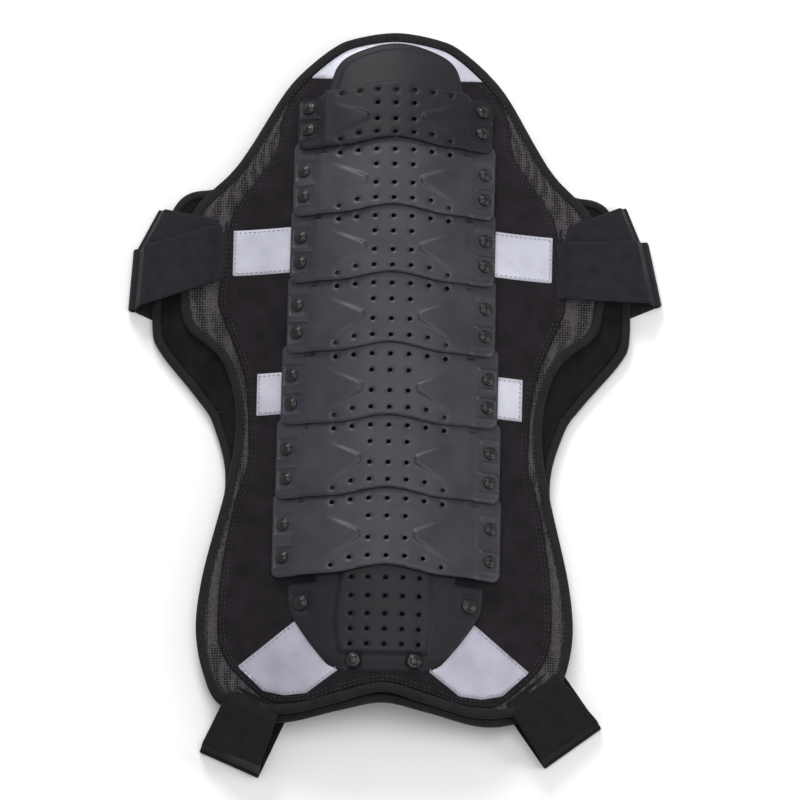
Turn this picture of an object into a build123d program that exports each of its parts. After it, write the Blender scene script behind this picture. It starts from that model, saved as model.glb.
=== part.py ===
"""Back protector: nine overlapping plates riveted to a padded, hinged panel with elastic straps.

Millimetres. X runs across the back, Y towards the head, Z out through the plates.
The protector lies on the plane Z = 0 with its plates up.
"""
from build123d import *
import math
import os

os.makedirs("parts", exist_ok=True)

# The panel's front surface: an arch that turns back into flat wings, the same at every height.
arch_radius = 220.0
arch_half_width = 100.0
arch_angle = math.asin(arch_half_width / arch_radius)
wing_foot = 2 * arch_radius * (1 - math.cos(arch_angle))

# The spine of the panel's front surface at each joint, from the head end down, as (y, z).
spine = [(336, 39), (265, 57), (231.5, 62.8), (171, 65.8), (110.5, 66), (47.5, 64.8), (-16, 59.3),
         (-82, 59.5), (-152.5, 64), (-240, 64.2)]
segment_names = ["cap", "1", "2", "3", "4", "5", "6", "7", "tail"]
tail = len(segment_names) - 1
curl_radius = 200.0
curl_angle = 18.0
joint_depth = 18.0
bend_forward = [6, 6, 5, 6, 8, 9, 8, 8]
bend_back = [3, 3, 3, 3, 4, 4, 4, 4]
joint_play = 0.5
joint_gap = 0.4

# Soft layers, as depths below the panel's front surface.
panel_depths = (0.0, 5.0)
core_depths = (5.2, 11.8)
liner_depths = (5.3, 15.0)
pocket_depths = (4.0, 12.0)
patch_depths = (-0.65, -0.05)
core_half_width = 97.0
pocket_half_width = 98.0
wing_split = 150.0
wing_slit = 0.6
wing_shift = {2: 21.0, 3: -50.0}
wing_gap = 1.2
layer_margins = {3: 62.0}

# Plates.
plate_radius = arch_radius + 3
plate_thickness = 2.5
plate_rise = 2.0
plate_lift = 0.8
plate_gap = 2.2
lap_below = 10.0
lap_above = 4.0
plate_corner = 7.5
tab_width = 22.0
tab_step = 5.0
edge_arch_half_width = 50.0
edge_arch_rise = 7.3
cap_centre_y = 28.0
crescent_centre_y = 240.0
crescent_share = 0.902
crescent_low = 287.0
crescent_hollow_y = 258.0
crescent_hollow_radius = 56.0
plate_half_widths = [None, 85.8, 88.9, 90.4, 92.0, 95.5, 98.6, 100.3, None]
tail_hole_rows = (74.5, 58, 42, 28.5, 15)
tail_hole_columns = (-30, -15.4, 0, 15.4, 30)
hole_radius = 2.1
hole_rows = [
    (0.095, (48.5,)), (0.19, (32.5,)), (0.215, (0, 16.3)), (0.45, (0, 16.3)), (0.735, (0, 16.3)),
    (0.92, (48.5,)), (0.945, (32.5,)), (0.965, (0, 16.3)),
]
rivet_inset = 8.5
rivet_low = 18.5
rivet_high_share = 0.69
rivet_high_least = 39.0
rivet_sizes = {0: (3.2, 1.0, 2.4), tail: (6.6, 1.8, 4.2)}
rivet_size = (5.75, 1.6, 4.2)
rivet_shank_radius = 2.0
washer_thickness = 1.0
washer_room = 5.2

# Straps, as plan points: the two ends of the sewn edge, then the two ends of the outer fold.
strap_thickness = 1.8
straps = {
    "upper_left": ((-150, 160), (-152, 108), (-229.5, 137), (-233, 82), 6.4, 42, 3),
    "upper_right": ((144, 148), (144, 97), (226, 154), (239, 97), 6.4, 52, 3),
    "lower_left": ((-90, -281), (-134, -258), (-108, -335), (-160, -313), 3.2, 62, tail),
    "lower_right": ((150, -237), (110, -272), (193, -284), (144, -321), 3.2, 62, tail),
}
shoulder_bands = {
    "left": ((-150, 162), (-150, 120), (-208, 174), (-226, 138)),
    "right": ((150, 162), (150, 116), (206, 185), (226, 138)),
}
band_clearance = 1.2
strap_clearance = 6.0
lower_strap_clearance = 2.4
floor_gap = 0.1

# Outlines in plan, right half, from the top centre round to the bottom centre.
panel_outline = [(0, 332), (39, 326), (58, 317), (83, 296), (101, 274), (127, 230), (144, 206), (176, 173),
                 (188, 131), (187, 91), (180, 65), (152, 40), (139, 10), (135, -26), (142, -76), (162, -162),
                 (165, -216), (150, -262), (120, -278), (82, -284), (38, -275), (0, -266)]
liner_outline = [(0, 327), (38, 321), (57, 312), (81, 292), (99, 270), (124, 227), (143, 203), (158, 193),
                 (178, 190), (191, 181), (201, 160), (209, 120), (211, 66), (203, 44), (171, 5), (154, -22),
                 (143, -76), (160, -162), (163, -216), (150, -264), (120, -283), (85, -290), (38, -281), (0, -274)]
cap_outline = [(60, 8), (58, 19.5), (52.5, 36), (42, 46), (20, 54.5), (0, 57.5)]
tail_outline = [(86, 71), (84, 49), (80, 39), (62, 12.5), (43, -7), (0, -8.5)]
tail_band = [(-36.5, 120), (36.5, 120), (43, 35), (38, 8), (-38, 8), (-43, 35)]
chest_patch = (86.5, 141, 111, 152)
waist_patch = (92, 117, -15, 22)
corner_patch = [(74, -199), (128, -240), (105, -263), (87, -268), (67, -267), (38, -246)]


def slope(index):
    """Angle of a segment's chord above the horizontal, going towards the head."""
    (y_top, z_top), (y_low, z_low) = spine[index], spine[index + 1]
    return math.atan2(z_top - z_low, y_top - y_low)


def chord(index):
    (y_top, z_top), (y_low, z_low) = spine[index], spine[index + 1]
    return math.hypot(y_top - y_low, z_top - z_low)


def segment_frame(index, turn=0.0, along=0.0, lift=0.0):
    """Frame at a segment's lower end: X across, Y up the chord, Z out. turn lowers its head end."""
    angle = slope(index)
    y_low, z_low = spine[index + 1]
    y = y_low + along * math.cos(angle) - lift * math.sin(angle)
    z = z_low + along * math.sin(angle) + lift * math.cos(angle)
    angle -= turn
    return Plane(origin=(0, y, z), x_dir=(1, 0, 0), z_dir=(0, -math.sin(angle), math.cos(angle)))


def across(frame, along=0.0):
    """The plane across a frame, with X across and Y out."""
    origin = frame.origin + frame.y_dir * along
    return Plane(origin=origin, x_dir=(1, 0, 0), z_dir=-frame.y_dir)


def mirrored(points):
    """A right half outline completed with its mirror image."""
    return points + [(-x, y) for x, y in reversed(points) if x > 0]


def spline_face(points):
    return make_face(Spline(*mirrored(points), periodic=True))


def shrunk(points, centre_y, factor):
    """An outline's points moved in towards a point on its middle line."""
    return [(x * factor, centre_y + (y - centre_y) * factor) for x, y in points]


def prism(frame, sketch, low, high):
    """A sketch extruded between two heights of a frame."""
    return extrude(frame.offset(low) * sketch, amount=high - low, dir=frame.z_dir)


def surface_line(depth, half_width):
    """The points of the arched surface at a depth: crest, turning point, foot and edge."""
    inner = arch_radius - depth
    outer = arch_radius + depth
    turn = (inner * math.sin(arch_angle), inner * math.cos(arch_angle) - arch_radius)
    centre_z = arch_radius - wing_foot
    middle = (2 * arch_half_width - outer * math.sin(arch_angle / 2), centre_z - outer * math.cos(arch_angle / 2))
    foot = (2 * arch_half_width, -wing_foot - depth)
    return (0, -depth), turn, middle, foot, (half_width, foot[1])


def surface_edges(depth, half_width):
    crest, turn, middle, foot, edge = surface_line(depth, half_width)
    edges = [ThreePointArc((-turn[0], turn[1]), crest, turn)]
    for side in (-1, 1):
        ends = [(side * x, z) for x, z in (turn, middle, foot, edge)]
        edges.append(ThreePointArc(*ends[:3]))
        edges.append(Line(ends[2], ends[3]))
    return edges


def layer_face(top, bottom, half_width=260.0):
    """Cross-section of a layer between two depths below the panel's front surface."""
    edges = surface_edges(top, half_width) + surface_edges(bottom, half_width)
    for side in (-1, 1):
        high = (side * half_width, -wing_foot - top)
        low = (side * half_width, -wing_foot - bottom)
        edges.append(Line(high, low))
    return make_face(edges)


def layer(index, depths):
    """A layer along one segment, longer than the segment. The tail's end curls down."""
    frame = segment_frame(index)
    section = layer_face(*depths)
    margin = layer_margins.get(index, 16.0)
    start = 0.0 if index == tail else -margin
    length = chord(index) + margin - start
    solid = extrude(across(frame, start) * section, amount=-length)
    if index == tail:
        centre = frame.origin - frame.z_dir * curl_radius
        solid += revolve(across(frame) * section, axis=Axis(centre, (1, 0, 0)), revolution_arc=curl_angle)
    return solid


def axis_point(joint):
    """Centre line of a joint, below the panel's front surface."""
    y, z = spine[joint + 1]
    return y, z - joint_depth


def joint_face(joint, side, shift=0.0, gap=joint_gap):
    """One face of a joint's wedge, as (y, z) points; side is +1 for the segment on the head's side."""
    y, z = axis_point(joint)
    lean = (slope(joint) + slope(joint + 1)) / 2
    reach = 75.0
    front = reach * math.tan(math.radians(bend_back[joint] / 2 + joint_play))
    rear = reach * math.tan(math.radians(bend_forward[joint] / 2 + joint_play))
    points = []
    for height, opening in ((reach, front), (0.0, 0.0), (-reach, rear)):
        along = side * (gap + opening)
        y_point = y + shift + along * math.cos(lean) - height * math.sin(lean)
        points.append((y_point, z + along * math.sin(lean) + height * math.cos(lean)))
    return points


def keystone(index, upper_shift=0.0, lower_shift=0.0, upper_gap=joint_gap, lower_gap=joint_gap):
    """The space between the wedges at a segment's two ends."""
    upper = [(420, 150), (420, -60)]
    lower = [(-420, 150), (-420, -60)]
    if index > 0:
        upper = joint_face(index - 1, -1, upper_shift, upper_gap)
    if index < tail:
        lower = joint_face(index, 1, lower_shift, lower_gap)
    outline = Polyline(*upper, *reversed(lower), close=True)
    return extrude(Plane.YZ * make_face(outline), amount=300, both=True)


def region(index):
    """The space a segment's soft layers may fill; the chest segment takes the wings beside its neighbours."""
    space = keystone(index)
    if index == 2:
        wings = keystone(index, lower_shift=wing_shift[2], lower_gap=wing_gap)
        return space & Box(2 * (wing_split - wing_slit), 900, 400) + wings
    if index == 3:
        wings = keystone(index, wing_shift[2], wing_shift[3], wing_gap, wing_gap)
        return space + (wings - Box(2 * wing_split, 900, 400))
    if index == 4:
        wings = keystone(index, upper_shift=wing_shift[3], upper_gap=wing_gap)
        return (space & Box(2 * (wing_split - wing_slit), 900, 400)) + wings
    return space


def plate_turn(index):
    """Angle by which a plate's head end is lowered so that the plate above can lap over it."""
    if index in (0, tail):
        return 0.0
    if index > 1:
        return math.atan(shingle(index))
    top_lift = plate_lift + plate_thickness + plate_gap
    return math.atan((plate_low_lift(1) - top_lift) / plate_length(1))


def shingle(index):
    """How fast a plate rises towards its lower edge."""
    return (plate_thickness + plate_gap) / chord(index)


def plate_low_lift(index):
    """Height of a plate's underside at its lower edge."""
    if index in (0, tail):
        return plate_lift
    rise = shingle(max(index, 2)) * (lap_below + lap_above)
    return plate_lift + plate_thickness + plate_gap + rise


def plate_frame(index):
    """Frame at the middle of a plate's lower edge, on its underside."""
    along = -lap_above if index == 0 else 0.0 if index == tail else -lap_below
    return segment_frame(index, plate_turn(index), along, plate_low_lift(index))


def plate_length(index):
    """Length of a middle plate; the first one also laps over the cap."""
    return chord(index) + lap_below + (lap_below if index == 1 else lap_above)


def sector(low, high, half_width):
    """Ring sector between two heights above a plate's underside."""
    ring = Circle(plate_radius + high) - Circle(plate_radius + low)
    return (Pos(0, -plate_radius) * ring) & (Pos(0, -30) * Rectangle(2 * half_width, 120))


def shell(index, outline, raised, hollow):
    """A plate: a thin arched sheet with a raised, hollow middle."""
    frame = plate_frame(index)
    run = across(frame, -60)

    def slab(low, high):
        return extrude(run * sector(low, high, 120), amount=-220)

    body = slab(0, plate_thickness) & prism(frame, outline, -80, 60)
    body += slab(0, plate_thickness + plate_rise) & prism(frame, raised, -80, 60)
    return body - (slab(-2, plate_rise) & prism(frame, hollow, -80, 60))


def hole_run(index):
    """Length of plate over which the rows of holes are spread: the part that is in sight."""
    return plate_length(index) if index == 1 else chord(index)


def edge_arch():
    """The segment between a straight edge and its arched middle."""
    ends = ((-edge_arch_half_width, 0), (edge_arch_half_width, 0))
    arc = ThreePointArc(ends[0], (0, edge_arch_rise), ends[1])
    return make_face([arc, Line(ends[1], ends[0])])


def middle_plate(index):
    half_width = plate_half_widths[index]
    length = plate_length(index)
    raised_half_width = half_width - tab_width
    tabs = RectangleRounded(2 * half_width, length - tab_step, plate_corner)
    middle = Rectangle(2 * raised_half_width, length)
    outline = Pos(0, (length - tab_step) / 2) * tabs + Pos(0, length / 2) * middle - edge_arch()
    if index == 1:
        outline += Pos(0, length) * edge_arch()
    raised = outline & raised_field(index, raised_half_width, 0)
    plate = shell(index, outline, raised, raised_field(index, raised_half_width, plate_thickness))
    frame = plate_frame(index)
    for share, columns in hole_rows:
        for x in columns:
            for side in {-1, 1} if x else {1}:
                plate -= frame * Pos(side * x, share * hole_run(index)) * Cylinder(hole_radius, 60)
    for rivet in rivet_places(index):
        plate -= rivet * Cylinder(rivet_shank_radius + 0.2, 16)
    return plate


def raised_field(index, half_width, inset):
    """Where a middle plate is raised: narrower under the plate above, so that the two nest."""
    wide_end = plate_length(index) + 20
    if index == 1:
        return Pos(0, wide_end / 2 - 20) * Rectangle(2 * (half_width - inset), wide_end + 40)
    wide_end = chord(index) - 4 - inset
    narrow = plate_half_widths[index - 1] - tab_width - plate_thickness - 1 - inset
    wide = Pos(0, wide_end / 2 - 20) * Rectangle(2 * (half_width - inset), wide_end + 40)
    return wide + Pos(0, wide_end) * Rectangle(2 * narrow, 120)


def cap_face(factor=1.0):
    crown = mirrored(shrunk(cap_outline, cap_centre_y, factor))
    (half, high), (_, low) = crown[0], shrunk([(0, -lap_above)], cap_centre_y, factor)[0]
    foot = Polyline((-half, high), (-half, low), (half, low), (half, high))
    return Pos(0, lap_above) * make_face([Spline(*crown), foot])


def cap_plate():
    """The top plate: a rim round a raised crown; its lower edge lies under the first plate."""
    plate = shell(0, cap_face() - edge_arch(), cap_face(0.88) - edge_arch(), cap_face(0.84))
    for rivet in rivet_places(0):
        plate -= rivet * Cylinder(rivet_shank_radius + 0.2, 16)
    return plate


def tail_plate():
    """The lowest plate: a tapered shield with a raised middle band."""
    side = Spline(*tail_outline[1:5])
    bottom = ThreePointArc(tail_outline[4], tail_outline[5], (-tail_outline[4][0], tail_outline[4][1]))
    mirrored_side = Spline(*[(-x, y) for x, y in tail_outline[1:5]])
    corner = tail_outline[0]
    top = Polyline(tail_outline[1], corner, (-corner[0], corner[1]), (-tail_outline[1][0], tail_outline[1][1]))
    outline = make_face([side, bottom, mirrored_side, top])
    top_edge = chord(tail) + lap_above
    outline = outline + Pos(0, top_edge / 2) * Rectangle(2 * 62, top_edge)
    band = make_face(Polyline(*tail_band, close=True))
    plate = shell(tail, outline, outline & band, make_face(Polyline(*shrunk(tail_band, 64, 0.94), close=True)))
    frame = plate_frame(tail)
    for y in tail_hole_rows:
        for x in tail_hole_columns:
            plate -= frame * Pos(x, y) * Cylinder(hole_radius, 60)
    for rivet in rivet_places(tail):
        plate -= rivet * Cylinder(rivet_shank_radius + 0.2, 16)
    return plate


def rivet_places(index):
    """Locations of a plate's rivets, with Z along the rivet and its origin on the plate's top."""
    frame = plate_frame(index)
    if index == 0:
        points = [(-56, 10.5), (56, 10.5)]
    elif index == tail:
        points = [(-74.4, 53), (74.4, 53), (-27, 1), (27, 1)]
    else:
        x = plate_half_widths[index] - rivet_inset
        heights = (rivet_low, max(rivet_high_share * chord(index), rivet_high_least))
        points = [(side * x, y) for side in (-1, 1) for y in heights]
    places = []
    for x, y in points:
        angle = math.degrees(math.asin(x / plate_radius))
        tilt = Pos(0, y, -plate_radius) * Rot(0, angle, 0) * Pos(0, 0, plate_radius + plate_thickness)
        places.append(frame.location * tilt)
    return places


def washer_depth(index, place):
    """Depth of a rivet's washer below the plate's top, just behind the panel."""
    local_y = plate_frame(index).to_local_coords(place.position).Y
    underside = plate_low_lift(index) - local_y * math.tan(plate_turn(index))
    return plate_thickness + underside + panel_depths[1] + 0.6


def rivets(index):
    """The rivets of one plate: a head, a shank and a washer behind the panel in one solid each."""
    head_radius, head_height, washer_radius = rivet_sizes.get(index, rivet_size)
    solids = []
    for place in rivet_places(index):
        depth = washer_depth(index, place)
        head = Pos(0, 0, head_height / 2 + 0.05) * Cylinder(head_radius, head_height)
        head = chamfer(head.edges().group_by(Axis.Z)[-1], 0.45 * head_height)
        shank = Pos(0, 0, (head_height - depth) / 2) * Cylinder(rivet_shank_radius, head_height + depth)
        washer = Pos(0, 0, -depth - washer_thickness / 2) * Cylinder(washer_radius, washer_thickness)
        solids.append(place * (head + shank + washer))
    return Compound(children=solids)


def soft_section(index, depths, outline):
    """A soft layer of one segment, trimmed to an outline in plan."""
    return layer(index, depths) & prism(Plane.XY, outline, -30, 170) & region(index)


def clear_rivets(index, solid, radius):
    """Takes room for the rivets out of a soft layer."""
    for place in rivet_places(index):
        depth = washer_depth(index, place) + 2
        solid -= place * Pos(0, 0, -depth / 2) * Cylinder(radius, depth)
    return solid


def panel_section(index):
    section = soft_section(index, panel_depths, spline_face(panel_outline))
    return clear_rivets(index, section, rivet_shank_radius + 0.8)


def core_section(index):
    strip = Rectangle(2 * core_half_width, 900)
    return clear_rivets(index, soft_section(index, core_depths, strip), washer_room)


def liner_section(index):
    liner = soft_section(index, liner_depths, spline_face(liner_outline))
    if 0 < index < tail:
        pocket = layer(index, pocket_depths) & Box(2 * pocket_half_width, 900, 400)
        liner -= pocket
    return clear_rivets(index, liner, washer_room)


def patch(index, outline):
    return layer(index, patch_depths) & prism(Plane.XY, outline, -30, 170) & keystone(index)


def crescent():
    """The reflective crescent between the panel's binding and the cap."""
    edge = spline_face(shrunk(panel_outline, crescent_centre_y, crescent_share))
    band = edge & Pos(0, crescent_low + 50) * Rectangle(300, 100)
    return patch(0, band - Pos(0, crescent_hollow_y) * Circle(crescent_hollow_radius))


def box_patch(x_low, x_high, y_low, y_high, sign):
    """A rectangle on the right side, or its mirror image for a sign of -1."""
    middle = Pos(sign * (x_low + x_high) / 2, (y_low + y_high) / 2)
    return middle * Rectangle(x_high - x_low, y_high - y_low)


def spine_z(y):
    """Height of the panel's front surface on its centre line."""
    if y < spine[-1][0]:
        fall = math.tan(slope(tail)) * (y - spine[-1][0])
        return spine[-1][1] + fall - (y - spine[-1][0]) ** 2 / (2 * curl_radius)
    for (y_top, z_top), (y_low, z_low) in zip(spine, spine[1:]):
        if y >= y_low:
            return z_low + (z_top - z_low) * (y - y_low) / (y_top - y_low)


def surface_z(x, y):
    """Height of the panel's front surface."""
    x = abs(x)
    if x < arch_half_width:
        drop = arch_radius - math.sqrt(arch_radius ** 2 - x ** 2)
    else:
        away = max(2 * arch_half_width - x, 0)
        drop = wing_foot - arch_radius + math.sqrt(arch_radius ** 2 - away ** 2)
    return spine_z(y) - drop


def ribbon(stations, thickness):
    """A closed solid strip through pairs of edge points, with flat three-cornered facets.

    Its two broad sides are split along the same diagonals, so a twisted strip keeps its thickness.
    """
    count = len(stations)
    underside = 2
    rings = []
    for i, (left, right) in enumerate(stations):
        before = stations[max(i - 1, 0)]
        after = stations[min(i + 1, count - 1)]
        ring = []
        for side in (0, 1):
            tangent = (Vector(after[side]) - Vector(before[side])).normalized()
            width = (Vector(right) - Vector(left)).normalized()
            normal = tangent.cross(width).normalized() * (thickness / 2)
            point = Vector(stations[i][side])
            ring.append((point + normal, point - normal))
        (left_up, left_down), (right_up, right_down) = ring
        rings.append((left_up, right_up, right_down, left_down))
    faces = [three_corners(*rings[0][:3]), three_corners(rings[0][0], rings[0][2], rings[0][3])]
    faces += [three_corners(*rings[-1][:3]), three_corners(rings[-1][0], rings[-1][2], rings[-1][3])]
    for first, second in zip(rings, rings[1:]):
        for k in range(4):
            j = (k + 1) % 4
            if k == underside:
                faces.append(three_corners(first[k], first[j], second[k]))
                faces.append(three_corners(first[j], second[j], second[k]))
            else:
                faces.append(three_corners(first[k], first[j], second[j]))
                faces.append(three_corners(first[k], second[j], second[k]))
    return Solid(Shell(faces))


def three_corners(a, b, c):
    return Face(Wire.make_polygon([a, b, c], close=True))


def fold_direction(fold):
    """Unit vector in plan across a fold line, pointing away from the protector's middle."""
    (x_a, y_a), (x_b, y_b) = fold
    outward = Vector(-(y_b - y_a), x_b - x_a, 0).normalized()
    if outward.X * (x_a + x_b) < 0:
        outward = -outward
    return outward


def strap_front(sewn, fold, radius, clearance, bottom):
    """The front run of a strap, from its sewn edge over the panel and round its outer fold."""
    outward = fold_direction(fold)
    middle = radius - strap_thickness / 2
    bend = [Vector(x, y, 0) - outward * radius for x, y in fold]
    stations = []
    for share in (0.0, 0.25, 0.5, 0.75):
        pair = []
        for (x_in, y_in), end in zip(sewn, bend):
            x = x_in + (end.X - x_in) * share
            y = y_in + (end.Y - y_in) * share
            start = surface_z(x_in, y_in) + clearance
            finish = bottom + 2 * radius - strap_thickness / 2
            resting = surface_z(x, y) + clearance
            pair.append((x, y, max(resting, start + (finish - start) * share)))
        stations.append(pair)
    for angle in (90, 50, 10, -30, -60, -90):
        reach = middle * math.cos(math.radians(angle))
        height = bottom + radius + middle * math.sin(math.radians(angle))
        stations.append([tuple(end + outward * reach + Vector(0, 0, height)) for end in bend])
    return ribbon(stations, strap_thickness)


def strap_rear(sewn, fold, radius, length):
    """The rear run: flat, behind the liner, turned by the slant of its fold."""
    outward = fold_direction(fold)
    start = [Vector(x, y, 0) - outward * (radius + 0.3) for x, y in fold]
    front_run = Vector(fold[0][0] + fold[1][0] - sewn[0][0] - sewn[1][0],
                       fold[0][1] + fold[1][1] - sewn[0][1] - sewn[1][1], 0).normalized()
    rear_run = front_run - outward * (2 * front_run.dot(outward))
    corners = [start[0], start[1], start[1] + rear_run * length, start[0] + rear_run * length]
    outline = make_face(Polyline(*[(p.X, p.Y) for p in corners], close=True))
    return prism(Plane.XY, outline, floor_gap, floor_gap + strap_thickness)


def write(name, shape):
    solids = shape.solids()
    kept = [solid for solid in solids if solid.volume > 1]
    whole = kept[0] if len(kept) == 1 else Compound(children=kept)
    whole.label = name
    export_step(whole, f"parts/{name}.step")


def plate_shape(index):
    if index == 0:
        return cap_plate()
    if index == tail:
        return tail_plate()
    return middle_plate(index)


for index, name in enumerate(segment_names):
    write(f"plate_{name}", plate_shape(index))
    write(f"rivets_{name}", rivets(index))
    write(f"panel_{name}", panel_section(index))
    write(f"liner_{name}", liner_section(index))
    if 0 < index < tail:
        write(f"foam_core_{name}", core_section(index))

write("reflector_crescent", crescent())
for side, sign in (("left", -1), ("right", 1)):
    write(f"reflector_chest_{side}", patch(3, box_patch(*chest_patch, sign)))
    write(f"reflector_waist_{side}", patch(5, box_patch(*waist_patch, sign)))
    corners = Polyline(*[(sign * x, y) for x, y in corner_patch], close=True)
    write(f"reflector_corner_{side}", patch(tail, make_face(corners)))
    upper_in, lower_in, upper_out, lower_out = shoulder_bands[side]
    band = strap_front((upper_in, lower_in), (upper_out, lower_out), 3.4, band_clearance, 2.5)
    write(f"shoulder_band_{side}", band)

for name, (in_a, in_b, out_a, out_b, radius, length, index) in straps.items():
    clearance = lower_strap_clearance if index == tail else strap_clearance
    write(f"strap_{name}_front", strap_front((in_a, in_b), (out_a, out_b), radius, clearance, floor_gap))
    write(f"strap_{name}_rear", strap_rear((in_a, in_b), (out_a, out_b), radius, length))
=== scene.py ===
"""Back protector: plates, rivets, padded panel, quilted liner, reflective patches and elastic straps.

Metres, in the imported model's frame: X across the back, Y towards the head, Z out through the plates.
"""
import math

import bmesh
import bpy
import numpy as np
from mathutils import Matrix, Vector
from mathutils.geometry import delaunay_2d_cdt


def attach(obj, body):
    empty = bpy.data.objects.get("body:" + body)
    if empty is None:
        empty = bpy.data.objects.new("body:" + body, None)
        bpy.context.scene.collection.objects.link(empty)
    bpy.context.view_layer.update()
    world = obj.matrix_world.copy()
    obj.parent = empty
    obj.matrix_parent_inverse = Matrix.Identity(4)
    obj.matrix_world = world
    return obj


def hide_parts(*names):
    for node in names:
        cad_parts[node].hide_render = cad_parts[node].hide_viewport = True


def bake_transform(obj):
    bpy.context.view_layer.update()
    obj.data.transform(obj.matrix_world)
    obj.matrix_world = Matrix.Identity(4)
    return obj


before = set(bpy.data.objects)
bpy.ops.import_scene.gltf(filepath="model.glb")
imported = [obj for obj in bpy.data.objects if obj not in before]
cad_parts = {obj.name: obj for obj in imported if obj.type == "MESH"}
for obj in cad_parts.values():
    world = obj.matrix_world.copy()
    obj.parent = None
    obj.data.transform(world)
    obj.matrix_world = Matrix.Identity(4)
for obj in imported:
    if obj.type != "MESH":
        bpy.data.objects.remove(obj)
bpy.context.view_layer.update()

mm = 0.001

# The arched surface that every layer follows, as in the CAD model.
arch_radius = 220 * mm
arch_half_width = 100 * mm
wing_foot = 2 * arch_radius * (1 - math.cos(math.asin(arch_half_width / arch_radius)))
spine = np.array([(336, 39), (265, 57), (231.5, 62.8), (171, 65.8), (110.5, 66), (47.5, 64.8), (-16, 59.3),
                  (-82, 59.5), (-152.5, 64), (-240, 64.2), (-262, 62.9), (-290, 58)]) * mm
names = ["cap", "1", "2", "3", "4", "5", "6", "7", "tail"]
bodies = ["cap_segment"] + [f"segment_{i}" for i in range(1, 8)] + ["tail_segment"]
tail = 8

# Plates.
plate_radius = arch_radius + 3 * mm
plate_thickness = 2.5 * mm
plate_rise = 2.0 * mm
plate_lift = 0.8 * mm
plate_gap = 2.2 * mm
lap_below = 10 * mm
lap_above = 4 * mm
plate_corner = 7.5 * mm
tab_width = 22 * mm
tab_step = 5 * mm
edge_arch_half_width = 50 * mm
edge_arch_rise = 7.3 * mm
plate_half_widths = np.array([60, 85.8, 88.9, 90.4, 92.0, 95.5, 98.6, 100.3, 86]) * mm
hole_radius = 2.1 * mm
hole_rows = [
    (0.095, (48.5,)), (0.19, (32.5,)), (0.215, (0, 16.3)), (0.45, (0, 16.3)), (0.735, (0, 16.3)),
    (0.92, (48.5,)), (0.945, (32.5,)), (0.965, (0, 16.3)),
]
rivet_inset = 8.5 * mm
rivet_low = 18.5 * mm
rivet_high_share = 0.69
rivet_high_least = 39 * mm

# Outlines in plan, right half, in millimetres, from the top centre round to the bottom centre.
panel_outline = [(0, 332), (39, 326), (58, 317), (83, 296), (101, 274), (127, 230), (144, 206), (176, 173),
                 (188, 131), (187, 91), (180, 65), (152, 40), (139, 10), (135, -26), (142, -76), (162, -162),
                 (165, -216), (150, -262), (120, -278), (82, -284), (38, -275), (0, -266)]
liner_outline = [(0, 327), (38, 321), (57, 312), (81, 292), (99, 270), (124, 227), (143, 203), (158, 193),
                 (178, 190), (191, 181), (201, 160), (209, 120), (211, 66), (203, 44), (171, 5), (154, -22),
                 (143, -76), (160, -162), (163, -216), (150, -264), (120, -283), (85, -290), (38, -281),
                 (0, -274)]
centre_outline = [(0, 324), (37, 318.5), (55, 310), (78, 290), (93, 271), (101, 250), (103, 232), (108, 217),
                  (120, 200), (134, 181), (145, 157), (153, 95), (150, 77), (134, 37), (126, 8), (124, -27),
                  (124, -58), (135, -95), (144, -150), (147, -203), (141, -230), (128, -248), (101, -272),
                  (82, -275), (61, -273), (38, -266), (0, -258)]
cap_outline = [(60, 8), (58, 19.5), (52.5, 36), (42, 46), (20, 54.5), (0, 57.5)]
tail_side = [(84, 49), (80, 39), (62, 12.5), (43, -7), (20, -8.5), (0, -8.7)]
corner_patch = [(74, -199), (128, -240), (105, -263), (87, -268), (67, -267), (38, -246)]


# ---------------------------------------------------------------- the common surface

def spine_z(y):
    """Height of the panel's front surface on the centre line, with the joints' corners rounded."""
    y = np.asarray(y, float)
    total = 0
    for step in np.linspace(-14, 14, 7) * mm:
        total = total + np.interp(y + step, spine[::-1, 0], spine[::-1, 1])
    return total / 7


def drop(x):
    """How far the arch falls away from its crest."""
    x = np.abs(np.asarray(x, float))
    crown = arch_radius - np.sqrt(arch_radius ** 2 - np.minimum(x, arch_half_width) ** 2)
    away = np.clip(2 * arch_half_width - x, 0, arch_half_width)
    wing = wing_foot - arch_radius + np.sqrt(arch_radius ** 2 - away ** 2)
    return np.where(x < arch_half_width, crown, wing)


def surface_z(x, y):
    return spine_z(y) - drop(x)


def smooth(low, high, value):
    t = np.clip((value - low) / (high - low), 0, 1)
    return t * t * (3 - 2 * t)


# ---------------------------------------------------------------- outlines and filled meshes

def mirrored(points):
    return points + [(-x, y) for x, y in reversed(points) if x > 0]


def curve_through(points, spacing, closed=True):
    """Evenly spaced points on a smooth curve through some points."""
    points = np.array(points, float)
    count = len(points)
    dense = []
    for i in range(count if closed else count - 1):
        if closed:
            p0, p1, p2, p3 = (points[(i + k) % count] for k in (-1, 0, 1, 2))
        else:
            p0, p1, p2, p3 = (points[min(max(i + k, 0), count - 1)] for k in (-1, 0, 1, 2))
        t = np.linspace(0, 1, 24, endpoint=False)[:, None]
        dense.append(0.5 * (2 * p1 + (p2 - p0) * t + (2 * p0 - 5 * p1 + 4 * p2 - p3) * t ** 2
                            + (3 * p1 - p0 - 3 * p2 + p3) * t ** 3))
    dense = np.vstack(dense + [points[:1] if closed else points[-1:]])
    return resample(dense, spacing, closed)


def resample(line, spacing, closed=False):
    lengths = np.concatenate([[0], np.cumsum(np.linalg.norm(np.diff(line, axis=0), axis=1))])
    steps = max(int(round(lengths[-1] / spacing)), 3)
    places = np.linspace(0, lengths[-1], steps + 1)
    if closed:
        places = places[:-1]
    return np.column_stack([np.interp(places, lengths, line[:, k]) for k in range(line.shape[1])])


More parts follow.
